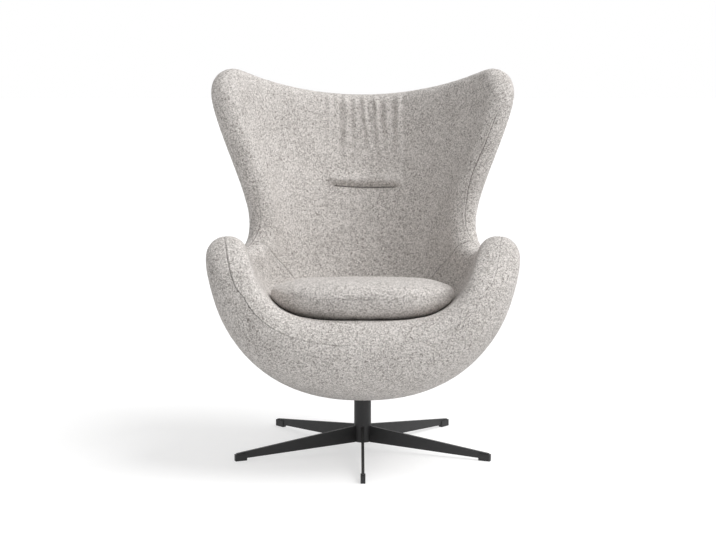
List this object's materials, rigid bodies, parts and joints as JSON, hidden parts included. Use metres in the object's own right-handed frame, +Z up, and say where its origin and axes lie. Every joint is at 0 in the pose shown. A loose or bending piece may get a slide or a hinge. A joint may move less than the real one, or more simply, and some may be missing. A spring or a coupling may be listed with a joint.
{
  "type": "swivel armchair",
  "caption": "Padded winged shell armchair with a loose seat cushion, turning on a column over a star base of flat radial legs.",
  "frame": {"origin": "on the floor, on the swivel axis", "axes": "+Z up along the swivel axis, -Y is the front of the chair, +X is the right as one looks at the chair from the front"},
  "size_m": [0.8418, 0.7991, 1.0668],
  "materials": {
    "boucle": "looped woven wool blend, matt, light warm grey",
    "upholstery_foam": "cut polyurethane foam",
    "thread": "twisted polyester thread",
    "zip_tape": "woven tape",
    "moulded_shell": "glass fibre and resin, as moulded",
    "moulded_block": "rigid moulded foam plastic",
    "black_steel": "matt black powder coat with a fine grain",
    "bare_steel": "zinc plated",
    "black_plastic": "moulded, satin",
    "nylon": "natural nylon"
  },
  "bodies": {
    "base": {"column_tube": "black_steel", "column_cap": "black_plastic", "lower_bush": "nylon", "upper_bush": "nylon", "thrust_washer": "nylon", "leg_front": "black_steel", "leg_front_right": "black_steel", "leg_front_left": "black_steel", "leg_rear_right": "black_steel", "leg_rear_left": "black_steel", "glide_front": "black_plastic", "glide_front_right": "black_plastic", "glide_front_left": "black_plastic", "glide_rear_right": "black_plastic", "glide_rear_left": "black_plastic"},
    "seat": {"spindle": "bare_steel", "keeper_washer": "bare_steel", "keeper_screw": "bare_steel", "mounting_plate": "bare_steel", "plate_screws": "bare_steel", "threaded_inserts": "bare_steel", "carrier_block": "moulded_block", "hem_ring": "black_plastic", "rigid_shell": "moulded_shell", "outer_pad": "upholstery_foam", "shell_foam": "upholstery_foam", "inner_cover": "boucle", "outer_cover": "boucle", "tuck_thread": "thread"},
    "cushion": {"cushion_foam": "upholstery_foam", "cushion_top_panel": "boucle", "cushion_bottom_panel": "boucle", "zip_tape": "zip_tape", "zip_pull": "bare_steel"}
  },
  "joints": [
    {"name": "swivel", "type": "hinge", "parent": "base", "child": "seat", "pos_m": [0, 0, 0.1], "axis": [0, 0, 1], "continuous": true},
    {"name": "cushion_lift", "type": "slide", "parent": "seat", "child": "cushion", "axis": [0, 0, 1], "range_m": [0, 0.3]}
  ]
}
